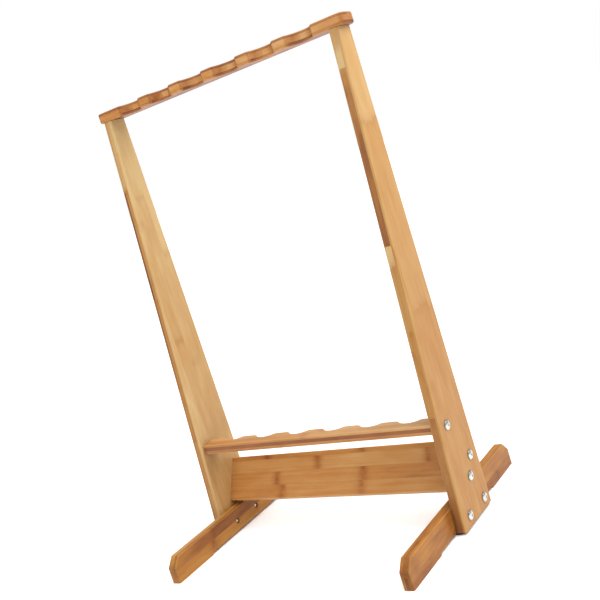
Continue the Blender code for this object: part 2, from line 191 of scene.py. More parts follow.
class Nodes:
    """A node tree, with short calls for its nodes."""

    def __init__(self, tree):
        self.nodes = tree.nodes
        self.links = tree.links

    def feed(self, socket, value):
        if isinstance(value, bpy.types.NodeSocket):
            self.links.new(value, socket)
        else:
            socket.default_value = value

    def math(self, operation, first, second=0.0):
        node = self.nodes.new("ShaderNodeMath")
        node.operation = operation
        self.feed(node.inputs[0], first)
        self.feed(node.inputs[1], second)
        return node.outputs[0]

    def product(self, first, *others):
        for other in others:
            first = self.math("MULTIPLY", first, other)
        return first

    def centred(self, noise):
        """Noise between 0 and 1, moved to lie round 0."""
        return self.math("SUBTRACT", noise, 0.5)

    def vector(self, operation, first, second):
        node = self.nodes.new("ShaderNodeVectorMath")
        node.operation = operation
        self.feed(node.inputs[0], first)
        self.feed(node.inputs[1], second)
        return node.outputs["Vector"]

    def split(self, vector):
        node = self.nodes.new("ShaderNodeSeparateXYZ")
        self.feed(node.inputs[0], vector)
        return tuple(node.outputs)

    def join(self, x, y, z):
        node = self.nodes.new("ShaderNodeCombineXYZ")
        for socket, value in zip(node.inputs, (x, y, z)):
            self.feed(socket, value)
        return node.outputs[0]

    def attribute(self, name, output="Vector"):
        node = self.nodes.new("ShaderNodeAttribute")
        node.attribute_name = name
        return node.outputs[output]

    def position(self):
        return self.nodes.new("ShaderNodeNewGeometry").outputs["Position"]

    def noise(self, vector, scale, detail=2.0, roughness=0.5, distortion=0.0):
        node = self.nodes.new("ShaderNodeTexNoise")
        self.feed(node.inputs["Vector"], vector)
        self.feed(node.inputs["Scale"], scale)
        self.feed(node.inputs["Detail"], detail)
        self.feed(node.inputs["Roughness"], roughness)
        self.feed(node.inputs["Distortion"], distortion)
        return node.outputs["Fac"]

    def range(self, value, low, high, to_low=0.0, to_high=1.0, smooth=False):
        node = self.nodes.new("ShaderNodeMapRange")
        node.interpolation_type = "SMOOTHSTEP" if smooth else "LINEAR"
        for index, number in enumerate((value, low, high, to_low, to_high)):
            self.feed(node.inputs[index], number)
        return node.outputs[0]

    def ramp(self, value, stops):
        node = self.nodes.new("ShaderNodeValToRGB")
        elements = node.color_ramp.elements
        while len(elements) < len(stops):
            elements.new(0.5)
        for element, (place, colour) in zip(elements, stops):
            element.position = place
            element.color = (*colour, 1)
        self.feed(node.inputs[0], value)
        return node.outputs["Color"]

    def mix(self, factor, first, second, blend="MIX"):
        node = self.nodes.new("ShaderNodeMix")
        node.data_type = "RGBA"
        node.blend_type = blend
        self.feed(node.inputs["Factor"], factor)
        colours = [socket for socket in node.inputs if socket.type == "RGBA"]
        for socket, value in zip(colours, (first, second)):
            self.feed(socket, value if isinstance(value, bpy.types.NodeSocket) else (*value, 1))
        return next(socket for socket in node.outputs if socket.type == "RGBA")

    def stain(self, amount, colour, stain):
        """Multiplies the colour by the stain where the amount is 1."""
        return self.mix(amount, colour, self.mix(1.0, colour, stain, "MULTIPLY"))


class Shading(Nodes):
    """A new material's nodes."""

    def __init__(self, name):
        self.material = bpy.data.materials.new(name)
        self.material.use_nodes = True
        super().__init__(self.material.node_tree)
        self.shader = self.nodes["Principled BSDF"]

    def set(self, **values):
        """Sets inputs of the shader; Coat_Weight means Coat Weight."""
        for name, value in values.items():
            self.feed(self.shader.inputs[name.replace("_", " ")], value)

    def bump(self, height, strength, distance):
        node = self.nodes.new("ShaderNodeBump")
        node.inputs["Strength"].default_value = strength
        node.inputs["Distance"].default_value = distance
        self.feed(node.inputs["Height"], height)
        self.set(Normal=node.outputs[0])


# ---- materials

# Colours of bamboo, from tone 0, pale, to tone 1, dark brown
BAMBOO_TONES = (
    (0.00, (0.66, 0.420, 0.210)), (0.12, (0.60, 0.350, 0.165)), (0.30, (0.54, 0.280, 0.106)),
    (0.55, (0.46, 0.195, 0.055)), (0.78, (0.30, 0.105, 0.037)), (1.00, (0.17, 0.058, 0.025)),
)
NODE_STAIN = (0.68, 0.49, 0.38)
GLUE_STAIN = (0.62, 0.50, 0.40)
END_STAIN = (0.60, 0.49, 0.43)
# pale arrises: partly wear, partly a painted highlight
ARRIS_WEAR_AND_HIGHLIGHT = (0.74, 0.46, 0.21)

# Fineness of its grain per metre, one number or one each along u, v and w
BROAD_GRAIN = (2.2, 130, 130)
STREAK_GRAIN = (6, 640, 640)
FIBRE_GRAIN = (38, 2400, 2400)
MOTTLE_GRAIN = (16, 70, 70)
CLOUD_GRAIN = 11
WANDER_GRAIN = 70
PATCH_GRAIN = 60
SPOT_GRAIN = 190
STRIP_SHIFT = 3.7               # how far the grain moves along u from one strip to the next

# Its nodes: how far their line wanders, how they bend the fibres, and their bands
NODE_WANDER = 8 * MM
NODE_REACH = 9 * MM
NODE_BEND = 0.22
NODE_BANDS = ((12 * MM, 0.50), (7 * MM, 0.55), (4 * MM, 0.45))      # reach, strength
GLUE_FULL = 0.08 * MM
GLUE_GONE = 0.35 * MM

# Colours of the other materials, along a noise
ZINC_STAINS = ((0.30, (0.48, 0.52, 0.51)), (0.55, (0.62, 0.63, 0.59)), (0.75, (0.57, 0.55, 0.45)))
ZINC_MARK = (0.36, 0.36, 0.37)
# painted shade in the bolts' recesses and round their rims
PAINTED_SHADE = (0.05, 0.048, 0.04)
INSERT_STAINS = ((0.3, (0.78, 0.64, 0.50)), (0.6, (0.90, 0.77, 0.62)), (0.8, (0.72, 0.60, 0.48)))
BEECH_TONES = ((0.25, (0.62, 0.43, 0.25)), (0.6, (0.74, 0.55, 0.35)), (0.8, (0.80, 0.63, 0.43)))
BEECH_RAY = (0.42, 0.25, 0.13)
RUBBER_DUST = ((0.35, (0.012, 0.012, 0.013)), (0.7, (0.035, 0.034, 0.033)))
FLOOR_MOTTLE = ((0.3, (0.96, 0.96, 0.96)), (0.7, (0.98, 0.98, 0.98)))


def bamboo(name, tint, node_strength, contrast, mottling, joints, arris_wear_and_sheen):
    """Lacquered laminated bamboo.

    tint multiplies its colour, node_strength its nodes, contrast its grain, mottling its soft
    clouds, joints its glue lines and the last argument its pale arrises, partly wear and partly
    a painted highlight.
    """
    s = Shading(name)
    u, v, w = s.split(s.attribute("board"))
    tone_before, tone_after, node_place = s.split(s.attribute("strip"))
    seed, strip_middle, strip_half = s.split(s.attribute("cell"))
    arris_mask, end_grain, _ = s.split(s.attribute("arris_and_end_grain"))
    blend = s.attribute("blend", "Fac")

    # distance along the grain from the strip's node, whose line wanders across the strip
    shift = s.product(seed, STRIP_SHIFT)
    across = s.join(shift, v, w)
    wander = s.product(s.centred(s.noise(across, WANDER_GRAIN, 3, 0.6)), NODE_WANDER)
    from_node = s.math("ADD", s.math("SUBTRACT", u, node_place), wander)

    def near_node(reach):
        ratio = s.math("DIVIDE", from_node, reach)
        return s.math("EXPONENT", s.product(ratio, ratio, -1))

    # fibres, bent sideways where they pass the node
    bend = s.product(near_node(NODE_REACH), s.product(wander, NODE_BEND))
    fibre_v = s.math("ADD", v, bend)
    place = s.join(s.math("ADD", u, shift), fibre_v, s.math("ADD", w, shift))
    broad = s.noise(s.vector("MULTIPLY", place, BROAD_GRAIN), 1, 2, 0.55)
    streaks = s.noise(s.vector("MULTIPLY", place, STREAK_GRAIN), 1, 3, 0.6)
    fibres = s.noise(s.vector("MULTIPLY", place, FIBRE_GRAIN), 1, 2, 0.6)
    cloud = s.noise(place, CLOUD_GRAIN, 2, 0.5)
    mottle = s.noise(s.vector("MULTIPLY", place, MOTTLE_GRAIN), 1, 3, 0.55)

    # the tone changes at the node, over the strip's blend length, with a frayed front
    frayed = s.math("ADD", from_node, s.product(s.centred(broad), blend))
    passed = s.range(s.math("DIVIDE", frayed, blend), -0.5, 0.5, smooth=True)
    tone_change = s.product(passed, s.math("SUBTRACT", tone_after, tone_before))
    tone = s.math("ADD", tone_before, tone_change)
    grains = ((broad, 0.26 * contrast), (streaks, 0.26 * contrast), (fibres, 0.16 * contrast),
              (cloud, 0.28 * mottling), (mottle, 0.40 * mottling))
    for grain, amount in grains:
        tone = s.math("ADD", tone, s.product(s.centred(grain), amount))

    colour = s.ramp(tone, BAMBOO_TONES)
    colour = s.mix(1.0, colour, tint, "MULTIPLY")

    # a node is a soft brown band with dark spots in it, broken by the fibres
    patchy = s.range(s.noise(place, PATCH_GRAIN, 2, 0.5, 0.6), 0.34, 0.62, 0.45, 1.0)
    broken = s.product(s.range(streaks, 0.25, 0.65, 0.6, 1.0), patchy)
    spots = s.range(s.noise(place, SPOT_GRAIN, 2, 0.6, 1.0), 0.48, 0.62, 0.0, 1.0)
    for (reach, strength), detail in zip(NODE_BANDS, (patchy, broken, spots)):
        mark = s.product(near_node(reach), detail, strength * node_strength)
        colour = s.stain(mark, colour, NODE_STAIN)

    # the glue line between two strips
    from_middle = s.math("ABSOLUTE", s.math("SUBTRACT", v, strip_middle))
    to_edge = s.math("SUBTRACT", strip_half, from_middle)
    glue = s.range(to_edge, GLUE_FULL, GLUE_GONE, joints, 0, smooth=True)
    colour = s.stain(glue, colour, GLUE_STAIN)

    # cut fibres are darker and show as dots, and arrises are paler: partly wear, partly a painted
    # highlight
    dots = s.range(fibres, 0.40, 0.62, 0.65, 1.0)
    colour = s.stain(s.product(end_grain, dots), colour, END_STAIN)
    pale = s.product(arris_mask, s.range(streaks, 0.3, 0.6, 0.5 * arris_wear_and_sheen, arris_wear_and_sheen))
    colour = s.mix(pale, colour, s.mix(1.0, ARRIS_WEAR_AND_HIGHLIGHT, tint, "MULTIPLY"))

    roughness = s.range(streaks, 0.3, 0.7, 0.36, 0.50)
    roughness = s.math("ADD", roughness, s.product(end_grain, 0.15))
    roughness = s.math("SUBTRACT", roughness, s.product(arris_mask, 0.05))
    height = s.math("ADD", s.product(streaks, 0.6), s.product(fibres, 0.4))
    height = s.math("SUBTRACT", height, s.product(glue, 0.5))
    s.bump(height, 0.35, 0.12 * MM)
    s.set(Base_Color=colour, Roughness=roughness, Specular_IOR_Level=0.16)
    s.set(Coat_Weight=0.06, Coat_Roughness=0.25)
    return s.material


def zinc():
    """Bright zinc plating with a faint passivated tint and small handling marks."""
    s = Shading("zinc_plating")
    place = s.position()
    stain = s.noise(place, 260, 3, 0.55)
    marks = s.noise(s.vector("MULTIPLY", place, (1, 1, 5)), 1700, 2, 0.6, 0.8)
    colour = s.ramp(stain, ZINC_STAINS)
    colour = s.mix(s.range(marks, 0.58, 0.75, 0, 0.35), colour, ZINC_MARK)
    # painted shade in the cross recess and round the head's rim
    colour = s.mix(s.attribute("painted_shade", "Fac"), colour, PAINTED_SHADE)
    stained = s.range(stain, 0.3, 0.7, 0.20, 0.32)
    roughness = s.math("ADD", stained, s.range(marks, 0.5, 0.8, 0, 0.18))
    s.bump(marks, 0.25, 0.04 * MM)
    s.set(Base_Color=colour, Roughness=roughness, Metallic=1.0)
    return s.material


def insert_metal():
    """Die-cast insert, duller and yellower than the bolts."""
    s = Shading("insert_metal")
    place = s.position()
    stain = s.noise(place, 420, 3, 0.6)
    pits = s.noise(place, 2600, 2, 0.6)
    colour = s.ramp(stain, INSERT_STAINS)
    s.bump(pits, 0.3, 0.05 * MM)
    s.set(Base_Color=colour, Roughness=s.range(pits, 0.3, 0.7, 0.28, 0.46), Metallic=1.0)
    return s.material


def beech():
    """Bare turned beech with short dark rays along the grain."""
    s = Shading("beech_dowel")
    place = s.attribute("board")
    grain = s.noise(s.vector("MULTIPLY", place, (60, 900, 900)), 1, 3, 0.6)
    rays = s.noise(s.vector("MULTIPLY", place, (700, 3200, 3200)), 1, 1, 0.5)
    colour = s.ramp(grain, BEECH_TONES)
    colour = s.mix(s.range(rays, 0.60, 0.72, 0, 0.6), colour, BEECH_RAY)
    s.bump(rays, 0.2, 0.05 * MM)
    s.set(Base_Color=colour, Roughness=s.range(grain, 0.3, 0.7, 0.55, 0.72))
    return s.material


def rubber():
    """Matt moulded rubber, slightly dusty."""
    s = Shading("black_rubber")
    place = s.position()
    dust = s.noise(place, 180, 3, 0.6)
    grain = s.noise(place, 3200, 2, 0.5)
    colour = s.ramp(dust, RUBBER_DUST)
    s.bump(grain, 0.4, 0.05 * MM)
    s.set(Base_Color=colour, Roughness=s.range(grain, 0.3, 0.7, 0.62, 0.85))
    return s.material


def floor_finish():
    """Matt white studio floor with a hardly visible mottle."""
    s = Shading("studio_floor")
    mottle = s.noise(s.position(), 1.3, 2, 0.5)
    s.set(Base_Color=s.ramp(mottle, FLOOR_MOTTLE), Roughness=0.9)
    return s.material


# ---- mesh helpers

def face_outward(bm):
    """Turns the faces of closed bodies outwards."""
    bmesh.ops.recalc_face_normals(bm, faces=bm.faces)
    if bm.calc_volume(signed=True) < 0:
        bmesh.ops.reverse_faces(bm, faces=bm.faces)


def new_object(name, bm, material=None):
    mesh = bpy.data.meshes.new(name)
    face_outward(bm)
    bm.to_mesh(mesh)
    bm.free()
    piece = bpy.data.objects.new(name, mesh)
    bpy.context.scene.collection.objects.link(piece)
    if material is not None:
        mesh.materials.append(material)
    return piece


def finish_piece(piece, node, matrix=Matrix()):
    """Moves the piece by the matrix and shades it smooth, and it takes its CAD node's place."""
    piece.data.transform(matrix)
    piece.data.shade_smooth()
    piece.data.set_sharp_from_angle(angle=SHARP)
    weighted = piece.modifiers.new("flat_faces", "WEIGHTED_NORMAL")
    weighted.keep_sharp = True
    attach(piece, BODY)
    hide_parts(node)


def subtract(piece, cutter_bm):
    """Cuts the closed meshes in cutter_bm out of the piece, and keeps the result as its mesh."""
    cutter = new_object(piece.name + "_cutter", cutter_bm)
    modifier = piece.modifiers.new("cut", "BOOLEAN")
    modifier.operation = "DIFFERENCE"
    modifier.solver = "EXACT"
    modifier.object = cutter
    evaluated = piece.evaluated_get(bpy.context.evaluated_depsgraph_get())
    result = bpy.data.meshes.new_from_object(evaluated)
    piece.modifiers.clear()
    old = piece.data
    piece.data = result
    bpy.data.meshes.remove(old)
    bpy.data.objects.remove(cutter, do_unlink=True)


def prism(outline, to_world, low, high):
    """Closed solid between w = low and w = high over an outline in (u, v)."""
    bm = bmesh.new()
    face = bm.faces.new([bm.verts.new((u, v, low)) for u, v in outline])
    swept = bmesh.ops.extrude_face_region(bm, geom=[face])
    far = [item for item in swept["geom"] if isinstance(item, bmesh.types.BMVert)]
    bmesh.ops.translate(bm, verts=far, vec=(0, 0, high - low))
    bm.transform(to_world)
    face_outward(bm)
    return bm


def round_edges(bm, to_board, wanted, radius, steps):
    """Rounds the sharp edges whose middle and direction, in board coordinates, satisfy wanted."""
    chosen = []
    for edge in bm.edges:
        start, end = (to_board @ vert.co for vert in edge.verts)
        corner = edge.calc_face_angle(0) > CORNER
        if corner and wanted((start + end) / 2, (end - start).normalized()):
            chosen.append(edge)
    bmesh.ops.bevel(bm, geom=chosen, offset=radius, segments=steps, profile=0.5, affect="EDGES",
                    clamp_overlap=True)


def arc(centre, radius, start, end):
    """Points on an arc, its ends included."""
    steps = max(3, math.ceil(abs(end - start) / ARC_STEP))
    points = []
    for step in range(steps + 1):
        angle = start + (end - start) * step / steps
        points.append((centre[0] + radius * math.cos(angle), centre[1] + radius * math.sin(angle)))
    return points


def notch_arcs(middle, edge, depth, lip):
    """Points of one notch, from low u to high u, cut towards +v from the line v = edge."""
    reach = math.sqrt(depth * (2 * (NOTCH_RADIUS + lip) - depth))
    bottom = edge + depth - NOTCH_RADIUS
    turn = math.acos(reach / (NOTCH_RADIUS + lip))
    first = arc((middle - reach, edge + lip), lip, -math.pi / 2, -turn)
    valley = arc((middle, bottom), NOTCH_RADIUS, math.pi - turn, turn)
    last = arc((middle + reach, edge + lip), lip, math.pi + turn, 3 * math.pi / 2)
    return first + valley[1:-1] + last


def notched_edge(edge, depth, lip):
    points = []
    for index in range(NOTCH_COUNT):
        points += notch_arcs((index - (NOTCH_COUNT - 1) / 2) * NOTCH_PITCH, edge, depth, lip)
    return points


def rod(bm, start, end, start_radius, end_radius):
    """Adds a closed cylinder or cone between two points."""
    axis = end - start
    turn = Vector((0, 0, 1)).rotation_difference(axis).to_matrix().to_4x4()
    bmesh.ops.create_cone(bm, cap_ends=True, segments=SEGMENTS, radius1=start_radius,
                          radius2=end_radius, depth=axis.length,
                          matrix=Matrix.Translation((start + end) / 2) @ turn)


def drill(holes):
    """One mesh for all holes, each given as (start, end, start radius, end radius)."""
    bm = bmesh.new()
    for hole in holes:
        rod(bm, *hole)
    return bm


def hole_along_x(side, start, end, y, z, radius):
    """Hole for a fitting of the given radius, with clearance round it."""
    wide = radius + CLEARANCE
    return (Vector((side * start, y, z)), Vector((side * end, y, z)), wide, wide)


def bolt_hole(side, start, end, bolt_name, radius):
    y, z, _ = SIDE_BOLTS[bolt_name]
    return hole_along_x(side, start, end, y, z, radius)


def hole_along_z(x, y, low, high, radius):
    wide = radius + CLEARANCE
    return (Vector((x, y, low)), Vector((x, y, high)), wide, wide)


# ---- laminated boards

class Strip:
    """One bamboo strip, in millimetres: its width, its tones before, between and after its nodes,
    the nodes' places along u, and the length over which the tone changes at a node."""

    def __init__(self, width, tones, nodes, blend=8):
        self.width = width * MM
        self.tones = tones
        self.nodes = [place * MM for place in nodes]
        self.blend = blend * MM


def wild_strip(chance, width, length, dark=0.0):
    """A strip with tones and nodes picked by chance."""
    first = chance.uniform(-length, length) / 2
    count = 2 if chance.random() < 0.5 else 1
    nodes = sorted(first / MM + index * chance.uniform(210, 290) for index in range(count))
    base = chance.uniform(0.25, 0.55) + dark
    return Strip(width, [base + chance.uniform(-0.08, 0.08) for _ in range(count + 1)], nodes)


class Board:
    """Laminate of plies, each a row of strips. to_world takes (u, v, w) to the row frame."""

    def __init__(self, name, axes, origin, low_w, plies, low_v, seed):
        self.name = name
        rotation = Matrix(axes).transposed().to_4x4()
        self.to_world = Matrix.Translation(origin) @ rotation
        self.to_board = self.to_world.inverted()
        self.low_w = low_w
        self.low_v = low_v
        self.plies = plies
        self.seed = seed

    def cuts(self):
        """Each strip with its low and high w and v; the outer ones reach past the board's faces."""
        level = self.low_w
        for thickness, strips in self.plies:
            edge = self.low_v
            for place, strip in enumerate(strips):
                low = edge - (PAST if place == 0 else 0)
                edge += strip.width
                high = edge + (PAST if strip is strips[-1] else 0)
                yield level, level + thickness * MM, low, high, strip
            level += thickness * MM

    def laminate(self, piece):
        """Splits the faces along the glue lines and tells each face its strip."""
        bm = bmesh.new()
        bm.from_mesh(piece.data)
        bm.transform(self.to_board)
        self.split_faces(bm)
        bm.normal_update()
        self.describe_vertices(bm)
        self.describe_faces(bm)
        bm.transform(self.to_world)
        face_outward(bm)
        bm.to_mesh(piece.data)
        bm.free()

    def split_faces(self, bm):
        """Cuts the faces between plies, between strips and halfway between a strip's nodes."""
        levels, edges, breaks = set(), set(), set()
        for low_w, _, low_v, _, strip in self.cuts():
            levels.add(low_w)
            edges.add(low_v)
            breaks.update((a + b) / 2 for a, b in zip(strip.nodes, strip.nodes[1:]))
        for axis, places in ((2, levels), (1, edges), (0, breaks)):
            normal = Vector((axis == 0, axis == 1, axis == 2))
            for place in sorted(places):
                bmesh.ops.bisect_plane(bm, geom=bm.verts[:] + bm.edges[:] + bm.faces[:],
                                       dist=CUT_TOLERANCE, plane_co=normal * place, plane_no=normal)

    @staticmethod
    def describe_vertices(bm):
        """Board coordinates, and how far each vertex lies on an arris and across the fibres."""
        board = bm.verts.layers.float_vector.new("board")
        arris_and_end_grain = bm.verts.layers.float_vector.new("arris_and_end_grain")
        for vert in bm.verts:
            vert[board] = vert.co
            weighted = (face.normal * face.calc_area() for face in vert.link_faces)
            normal = sum(weighted, Vector()).normalized()
            slope = abs(normal.z)
            on_arris = 1 - (2 * slope * slope - 1) ** 2
            across_fibres = min(1, max(0, abs(normal.x) - END_GRAIN_START) / END_GRAIN_RUN)
            vert[arris_and_end_grain] = (on_arris, across_fibres, 0)

    def describe_faces(self, bm):
        """The tones on both sides of the nearest node and its place, and the strip's own place."""
        strip_layer = bm.faces.layers.float_vector.new("strip")
        cell_layer = bm.faces.layers.float_vector.new("cell")
        blend_layer = bm.faces.layers.float.new("blend")
        cells = list(self.cuts())
        for face in bm.faces:
            centre = face.calc_center_median()
            index, cell = self.find(cells, centre)
            _, _, low_v, high_v, strip = cell
            nodes = strip.nodes
            nearest = min(range(len(nodes)), key=lambda item: abs(nodes[item] - centre.x))
            tone_before, tone_after = strip.tones[nearest:nearest + 2]
            face[strip_layer] = (tone_before, tone_after, nodes[nearest])
            face[cell_layer] = (self.seed + index, (low_v + high_v) / 2, (high_v - low_v) / 2)
            face[blend_layer] = strip.blend

    @staticmethod
    def find(cells, centre):
        """The cell that holds a point, or the nearest one."""
        def outside(cell):
            low_w, high_w, low_v, high_v, _ = cell
            return (max(low_w - centre.z, centre.z - high_w, 0)
                    + max(low_v - centre.y, centre.y - high_v, 0))
        index = min(range(len(cells)), key=lambda item: outside(cells[item]))
        return index, cells[index]


def make_board(board, outline, high_w, roundings, drillings, material):
    bm = prism(outline, board.to_world, board.low_w, high_w)
    for wanted, radius, steps in roundings:
        round_edges(bm, board.to_board, wanted, radius, steps)
    piece = new_object("board_" + board.name, bm, material)
    for holes in drillings:
        subtract(piece, drill(holes))
    board.laminate(piece)
    finish_piece(piece, board.name)


def make_post(side_name, material):
    side = SIDES[side_name]
    board = Board("post_" + side_name, ((0, 0, 1), (0, 1, 0), (side, 0, 0)), (0, 0, 0), POST_INNER,
                  POST_PLIES[side_name], POST_FRONT_BOTTOM, 10 + side)
    outline = [
        (POST_BOTTOM, POST_FRONT_BOTTOM), (POST_BOTTOM, POST_BACK), (POST_TOP, POST_BACK),
        (POST_TOP, POST_FRONT_TOP),
    ]
    holes = [bolt_hole(side, POST_INNER - PAST, POST_OUTER + PAST, name, BOLT_RADIUS)
             for name in SIDE_BOLTS]
    x = side * POST_MIDDLE
    above = POST_TOP + PAST
    radius, in_post, _ = TOP_DOWEL
    holes += [
        hole_along_z(x, TOP_BOLT_Y, TOP_RAIL_TOP - TOP_BOLT_LENGTH - PAST, above, INSERT_RADIUS),
        hole_along_z(x, TOP_DOWEL_Y, POST_TOP - in_post - CLEARANCE, above, radius),
    ]
    radius, _, in_post = RAIL_DOWEL
    holes.append(hole_along_x(side, POST_INNER - PAST, POST_INNER + in_post + CLEARANCE,
                              RAIL_DOWEL_Y, RAIL_HEIGHT, radius))
    roundings = (
        (lambda middle, way: abs(way.x) > 0.5, ARRIS, ARRIS_STEPS),
        (lambda middle, way: middle.x < POST_BOTTOM + CLEARANCE, END_BREAK, END_BREAK_STEPS),
    )
    make_board(board, outline, POST_OUTER, roundings, [holes], material)


def make_foot(side_name, material):
    side = SIDES[side_name]
    board = Board("foot_" + side_name, ((0, 1, 0), (0, 0, 1), (side, 0, 0)), (0, 0, 0), FOOT_INNER,
                  FOOT_PLIES[side_name], 0, 30 + side)
    half = FOOT_HALF
    shoulder = FOOT_HEIGHT - FOOT_CHAMFER
    pad = half - FOOT_PAD
    outline = [
        (-half, 0), (-pad, 0), (-pad + FOOT_RELIEF, FOOT_RELIEF),
        (pad - FOOT_RELIEF, FOOT_RELIEF), (pad, 0), (half, 0),
        (half, shoulder), (half - FOOT_CHAMFER, FOOT_HEIGHT),
        (FOOT_CHAMFER - half, FOOT_HEIGHT), (-half, shoulder),
    ]
    holes = [bolt_hole(side, FOOT_INNER - PAST, FOOT_OUTER + PAST, name, INSERT_RADIUS)
             for name in ("foot_front", "foot_back")]
    above_relief = FOOT_RELIEF + CLEARANCE
    roundings = (
        (lambda middle, way: abs(way.z) < 0.5 and middle.y > above_relief, FOOT_ARRIS, ARRIS_STEPS),
    )
    make_board(board, outline, FOOT_OUTER, roundings, [holes], material)


def make_top_rail(material):
    board = Board("top_rail", ((1, 0, 0), (0, 1, 0), (0, 0, 1)), (0, 0, 0), TOP_RAIL_BOTTOM,
                  TOP_RAIL_PLIES, TOP_RAIL_FRONT, 50)
    near = TOP_RAIL_FRONT_CORNER
    far = TOP_RAIL_BACK_CORNER
    end = TOP_RAIL_HALF
    front = TOP_RAIL_FRONT + near
    back = TOP_RAIL_BACK - far
    outline = arc((near - end, front), near, math.pi, 3 * math.pi / 2)
    outline += notched_edge(TOP_RAIL_FRONT, TOP_NOTCH_DEPTH, TOP_NOTCH_LIP)
    outline += arc((end - near, front), near, -math.pi / 2, 0)
    outline += arc((end - far, back), far, 0, math.pi / 2)
    outline += arc((far - end, back), far, math.pi / 2, math.pi)
    holes = []
    countersinks = []
    below = TOP_RAIL_BOTTOM - PAST
    above = TOP_RAIL_TOP + PAST
    wide = FLAT_HEAD_RADIUS + FLAT_HEAD_GAP
    radius, _, in_rail = TOP_DOWEL
    for side in SIDES.values():
        x = side * POST_MIDDLE
        holes += [
            hole_along_z(x, TOP_BOLT_Y, below, above, BOLT_RADIUS),
            hole_along_z(x, TOP_DOWEL_Y, below, TOP_RAIL_BOTTOM + in_rail + CLEARANCE, radius),
        ]
        countersinks.append((Vector((x, TOP_BOLT_Y, TOP_RAIL_TOP - wide)),
                             Vector((x, TOP_BOLT_Y, above)), 0, wide + PAST))
    roundings = ((lambda middle, way: abs(way.z) < 0.5, ARRIS, ARRIS_STEPS),)
    make_board(board, outline, TOP_RAIL_TOP, roundings, [holes, countersinks], material)


def make_lower_rail(material):
    board = Board("lower_rail", ((1, 0, 0), (0, 1, 0), (0, 0, 1)), (0, 0, 0), LOWER_RAIL_BOTTOM,
                  LOWER_RAIL_PLIES, LOWER_RAIL_FRONT, 60)
    notches = notched_edge(-LOWER_RAIL_BACK, LOWER_NOTCH_DEPTH, LOWER_NOTCH_LIP)
    outline = [
        (-BOARD_END, LOWER_RAIL_FRONT), (BOARD_END, LOWER_RAIL_FRONT), (BOARD_END, LOWER_RAIL_BACK),
        *((-u, -v) for u, v in notches), (-BOARD_END, LOWER_RAIL_BACK),
    ]
    holes = []
    radius, in_rail, _ = RAIL_DOWEL
    for side in SIDES.values():
        holes += [
            bolt_hole(side, BOARD_END - END_HOLE, BOARD_END + PAST, "rail", INSERT_RADIUS),
            hole_along_x(side, BOARD_END - in_rail - CLEARANCE, BOARD_END + PAST, RAIL_DOWEL_Y,
                         RAIL_HEIGHT, radius),
        ]
    inside = BOARD_END - CLEARANCE
    roundings = (
        (lambda middle, way: abs(way.z) < 0.5 and abs(middle.x) < inside, ARRIS, ARRIS_STEPS),
    )
    make_board(board, outline, LOWER_RAIL_TOP, roundings, [holes], material)


def make_apron(material):
    board = Board("apron", ((1, 0, 0), APRON_UP, APRON_OUT), APRON_CENTRE, -STOCK / 2,
                  APRON_PLIES, -APRON_HALF_WIDTH, 70)
    outline = [(-BOARD_END, -APRON_HALF_WIDTH), (BOARD_END, -APRON_HALF_WIDTH),
               (BOARD_END, APRON_HALF_WIDTH), (-BOARD_END, APRON_HALF_WIDTH)]
    holes = [
        bolt_hole(side, BOARD_END - END_HOLE, BOARD_END + PAST, name, INSERT_RADIUS)
        for side in SIDES.values() for name in ("apron_upper", "apron_lower")
    ]
    roundings = ((lambda middle, way: abs(way.x) > 0.5, APRON_ARRIS, ARRIS_STEPS),)
    make_board(board, outline, STOCK / 2, roundings, [holes], material)


# Strips of the boards. A ply is (thickness in mm, strips from low v up), low w first, and the strips'
# tones run from 0, pale, to 1, dark brown. Plies that are mostly hidden are filled by chance.
CHANCE = random.Random(20)


def wild_ply(thickness, widths, length, dark=0.0):
    return (thickness, [wild_strip(CHANCE, width, length, dark) for width in widths])


POST_PLIES = {
    "right": [
        # The front strips of the first two plies are darker below about 55 mm: partly their tone,
        # partly painted shade where the post meets the foot.
        (5, [Strip(17, (0.80, 0.62), (58,), 90), Strip(25, (0.54, 0.36, 0.04), (300, 432)),
             Strip(25, (0.76, 0.66, 0.32), (620, 730), 60), Strip(25, (0.03, 0.25), (774,), 40),
             Strip(18, (0.4, 0.36), (220,))]),
        (8, [Strip(17, (0.82, 0.64), (54,), 80), Strip(25, (0.54, 0.36, 0.06), (330, 436)),
             Strip(25, (0.78, 0.68, 0.38), (640, 734), 50), Strip(25, (0.03, 0.23), (780,), 40),
             Strip(18, (0.4, 0.4), (500,))]),
        # The back three strips of the outer ply are darker below about 360 mm and paler above about
        # 660 mm: partly their tone, partly painted light falling off downwards.
        (5, [Strip(17, (0.44, 0.45), (150,)), Strip(25, (0.48, 0.45), (240,)),
             Strip(25, (0.48, 0.36, 0.24), (360, 660)), Strip(25, (0.49, 0.36, 0.22), (362, 655)),
             Strip(18, (0.49, 0.36, 0.20), (352, 662))]),
    ],
    "left": [
        # The inner face grows paler towards the top: partly its tone, partly painted light where the
        # top rail shades it.
        (5, [Strip(17, (0.17, 0.15), (150,), 90), Strip(25, (0.25, 0.11), (165,), 90),
             Strip(25, (0.22, 0.18, 0.02), (380, 610), 170),
             Strip(25, (0.20, 0.16, 0.0), (330, 655), 170), Strip(18, (0.20, 0.0), (540,), 170)]),
        (7, [Strip(17, (0.44, 0.50), (100,)), Strip(25, (0.54, 0.52), (300,)),
             Strip(25, (0.50, 0.46, 0.14), (500, 676)), Strip(25, (0.02, 0.10), (690,)),
             Strip(18, (0.4, 0.4), (420,))]),
        (6, [Strip(17, (0.54, 0.60), (110,)), Strip(25, (0.64, 0.80), (300,), 120),
             Strip(25, (0.90, 0.86, 0.36), (520, 672)), Strip(25, (0.74, 0.30), (688,)),
             Strip(18, (0.68, 0.56), (360,))]),
    ],
}
